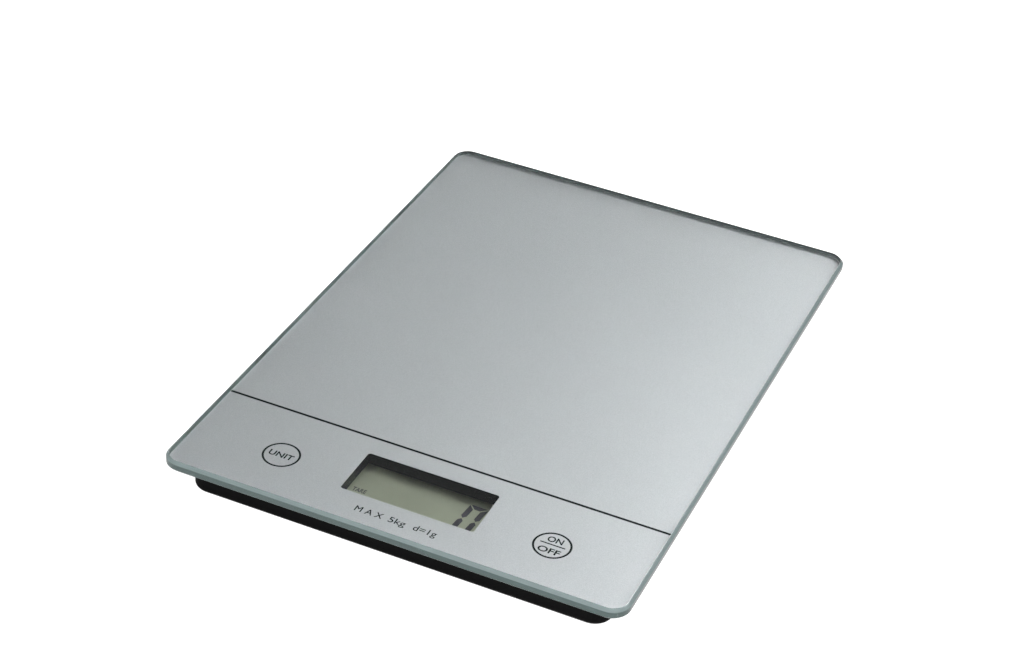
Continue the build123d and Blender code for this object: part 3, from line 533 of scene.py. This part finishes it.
def lettering(name, words, span, capital, swell, layer, slot, finish=None):
    """Words fitted to a span of left, right and baseline, as a plate between the layer's heights.

    Swell is how much each stroke is thickened, as a share of the type size.
    """
    left, right, baseline = span
    bottom, top = layer
    mesh, (raw_left, raw_right, _) = word_mesh(words, swell)
    reference, (_, _, raw_capital) = word_mesh("H")
    bpy.data.meshes.remove(reference)
    wide = (right - left) / (raw_right - raw_left)
    tall = capital / raw_capital
    for vertex in mesh.vertices:
        x, y, z = vertex.co
        vertex.co = (
            left + (x - raw_left) * wide,
            baseline + y * tall,
            (bottom + top) / 2 + z * (top - bottom),
        )
    return new_piece(name, mesh, "platform", slot, finish)


def bedded_copy(node, bite):
    """A printed layer whose top is bedded in the glass, because paint leaves no air under it."""
    mesh = frame["nodes"][node].data.copy()
    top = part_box(node)[1].z
    for vertex in mesh.vertices:
        if vertex.co.z > top - bite:
            vertex.co.z += bite
    piece = new_piece(f"{node}_bedded", mesh, "platform", slots[node])
    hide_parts(node)


def print_layers():
    """The paint, the printed line and the key circles under the glass."""
    bedded_copy("silver_back_print", PAINT_BITE)
    for node in ("divider_line", "key_ring_unit", "key_ring_power"):
        bedded_copy(node, MARK_BITE)


def print_words():
    """The words in the keys, the bar between two of them and the capacity line."""
    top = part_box("glass_platform")[0].z + MARK_BITE
    layer = (top - MARK_DEPTH, top)
    words = (
        ("label_unit", "UNIT", "key_ring_unit", UNIT_SPAN),
        ("label_on", "ON", "key_ring_power", ON_SPAN),
        ("label_off", "OFF", "key_ring_power", OFF_SPAN),
    )
    for name, word, ring, span in words:
        place = shifted(span, *middle(ring))
        lettering(name, word, place, KEY_CAPITAL, KEY_SWELL, layer, "black_print")
    x, y = middle("key_ring_power")
    bar = rectangle(x, y + BAR_LIFT, BAR_LENGTH, BAR_WIDTH)
    new_piece("label_bar", prism([bar], *layer), "platform", "black_print")
    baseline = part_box("lcd_front_polariser")[0].y - CAPACITY_GAP
    for word, left, right in CAPACITY_WORDS:
        name = "label_" + "".join(c for c in word.lower() if c.isalnum())
        place = (left, right, baseline)
        lettering(name, word, place, CAPACITY_CAPITAL, CAPACITY_SWELL, layer, "black_print")


def figure_strokes():
    """The six lit segments of a seven-segment nought, about its own centre, before the slant."""
    half_width, half_height = FIGURE_SIZE[0] / 2, FIGURE_SIZE[1] / 2
    stroke, gap = FIGURE_STROKE, FIGURE_GAP
    strokes = []
    for side in (-1, 1):
        outer, inner = side * half_width, side * (half_width - stroke)
        strokes.append([
            (-half_width + gap, side * half_height),
            (half_width - gap, side * half_height),
            (half_width - gap - stroke, side * (half_height - stroke)),
            (-half_width + gap + stroke, side * (half_height - stroke)),
        ])
        for end in (-1, 1):
            strokes.append([
                (outer, end * (half_height - gap)),
                (inner, end * (half_height - gap - stroke)),
                (inner, end * (gap + stroke / 2)),
                ((outer + inner) / 2, end * gap / 2),
                (outer, end * (gap + stroke / 2)),
            ])
    return strokes


def display_figures():
    """What the display shows: a nought at the right, and the small word at the left."""
    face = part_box("lcd_front_polariser")[1].z
    layer = (face, face + FIGURE_DEPTH)
    window_x, window_y = middle("lcd_front_polariser")
    centre_x, centre_y = window_x + FIGURE_CENTRE[0], window_y + FIGURE_CENTRE[1]
    outlines = [
        [(centre_x + x + FIGURE_SLANT * y, centre_y + y) for x, y in stroke]
        for stroke in figure_strokes()
    ]
    new_piece("display_nought", prism(outlines, *layer), "platform", "lcd_film", "figure_ink")
    place = shifted(TARE_SPAN, window_x, window_y)
    lettering(
        "display_tare", "TARE", place, TARE_CAPITAL, TARE_SWELL, layer, "lcd_film", "figure_ink"
    )


def polarity_mark():
    """A raised plus sign on the face of the coin cell that the open door shows."""
    x, y = middle("coin_cell")
    y += PLUS_SHIFT
    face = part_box("coin_cell")[0].z
    arm, half = PLUS_ARM, PLUS_WIDTH / 2
    corner = ((arm, half), (half, half), (half, arm))
    outline = []
    for sx, sy in ((1, 1), (-1, 1), (-1, -1), (1, -1)):
        steps = corner if sx == sy else corner[::-1]
        outline += [(x + sx * a, y + sy * b) for a, b in steps]
    new_piece("coin_cell_plus", prism([outline], face - PLUS_HEIGHT, face), "base", "coin_steel")


# The stage


def floor_paper(name):
    """Pale paper that looks near white to the camera and throws little light back up.

    It is seen from above only: from below it is clear, so that the object's underside shows.
    """
    material, tree, shader = new_material(name)
    fibres = noise(tree, FIBRE_SIZE)
    shader.inputs["Roughness"].default_value = FLOOR_ROUGHNESS
    shader.inputs["Specular IOR Level"].default_value = FLOOR_SPECULAR
    shader.inputs["Emission Color"].default_value = (*WHITE, 1.0)
    drive(tree, shader, {
        "Base Color": vary_colour(tree, fibres, FLOOR_COLOUR, FLOOR_VARIATION),
        "Emission Strength": camera_only(tree, 0.0, FLOOR_GLOW),
    })
    geometry = tree.nodes.new("ShaderNodeNewGeometry")
    light_path = tree.nodes.new("ShaderNodeLightPath")
    open_side = tree.nodes.new("ShaderNodeMath")
    open_side.operation = "MAXIMUM"
    tree.links.new(geometry.outputs["Backfacing"], open_side.inputs[0])
    tree.links.new(light_path.outputs["Is Shadow Ray"], open_side.inputs[1])
    nothing = tree.nodes.new("ShaderNodeBsdfTransparent")
    sides = tree.nodes.new("ShaderNodeMixShader")
    tree.links.new(open_side.outputs["Value"], sides.inputs["Fac"])
    tree.links.new(shader.outputs["BSDF"], sides.inputs[1])
    tree.links.new(nothing.outputs["BSDF"], sides.inputs[2])
    tree.links.new(sides.outputs["Shader"], tree.nodes["Material Output"].inputs["Surface"])
    return material


def lay_floor():
    """One wide sheet of paper, which faces up."""
    mesh = bpy.data.meshes.new("floor")
    corners = [(x, y, FLOOR_HEIGHT) for x, y in rectangle(0.0, 0.0, FLOOR_SPAN, FLOOR_SPAN)]
    mesh.from_pydata(corners, [], [(0, 1, 2, 3)])
    mesh.materials.append(floor_paper("floor_paper"))
    floor = bpy.data.objects.new("floor", mesh)
    bpy.context.scene.collection.objects.link(floor)


def surround():
    """A dim, even room that looks near white to the camera."""
    world = bpy.data.worlds.new("surround")
    world.use_nodes = True
    background = world.node_tree.nodes["Background"]
    background.inputs["Color"].default_value = (*ROOM_COLOUR, 1.0)
    strength = camera_only(world.node_tree, ROOM_LIGHT, BACKDROP_LIGHT)
    drive(world.node_tree, background, {"Strength": strength})
    bpy.context.scene.world = world


def area_light(name, place, width, height, watts):
    """A soft lamp that faces the origin."""
    lamp = bpy.data.lights.new(name, "AREA")
    lamp.shape = "RECTANGLE"
    lamp.size, lamp.size_y = width, height
    lamp.energy = watts
    holder = bpy.data.objects.new(name, lamp)
    holder.location = place
    holder.rotation_euler = (-Vector(place)).to_track_quat("-Z", "Y").to_euler()
    bpy.context.scene.collection.objects.link(holder)
    return holder


def light_only(lamp, bodies):
    """Keeps a lamp's light to the CAD nodes of some bodies."""
    lit = bpy.data.collections.new(f"lit_by_{lamp.name}")
    for body in bodies:
        for node in frame["record"]["behaviour"]["bodies"][body]:
            lit.objects.link(frame["nodes"][node])
    lamp.light_linking.receiver_collection = lit


def lamps():
    """The soft lamps, each kept from the surfaces that it mustn't show in."""
    for name, place, width, height, watts in LAMPS:
        lamp = area_light(name, place, width, height, watts)
        lamp.visible_glossy = name not in UNMIRRORED
        lamp.visible_diffuse = name not in GLOSS_ONLY
        lamp.visible_transmission = name not in UNSEEN_BY_PAINT
        if name == UNDER_LAMP:
            light_only(lamp, UNDER_LIT)


def camera():
    """The camera, aimed at its target and turned about its line of sight, with plain colours."""
    lens = bpy.data.cameras.new("camera")
    lens.lens = CAMERA_LENS
    lens.sensor_width = SENSOR_WIDTH
    holder = bpy.data.objects.new("camera", lens)
    aim = (CAMERA_TARGET - CAMERA_PLACE).to_track_quat("-Z", "Y")
    holder.location = CAMERA_PLACE
    holder.rotation_euler = (aim @ Quaternion((0.0, 0.0, 1.0), CAMERA_ROLL)).to_euler()
    bpy.context.scene.collection.objects.link(holder)
    bpy.context.scene.camera = holder
    bpy.context.scene.view_settings.view_transform = "Standard"


paint_nodes()
print_layers()
print_words()
display_figures()
polarity_mark()
lay_floor()
surround()
lamps()
camera()
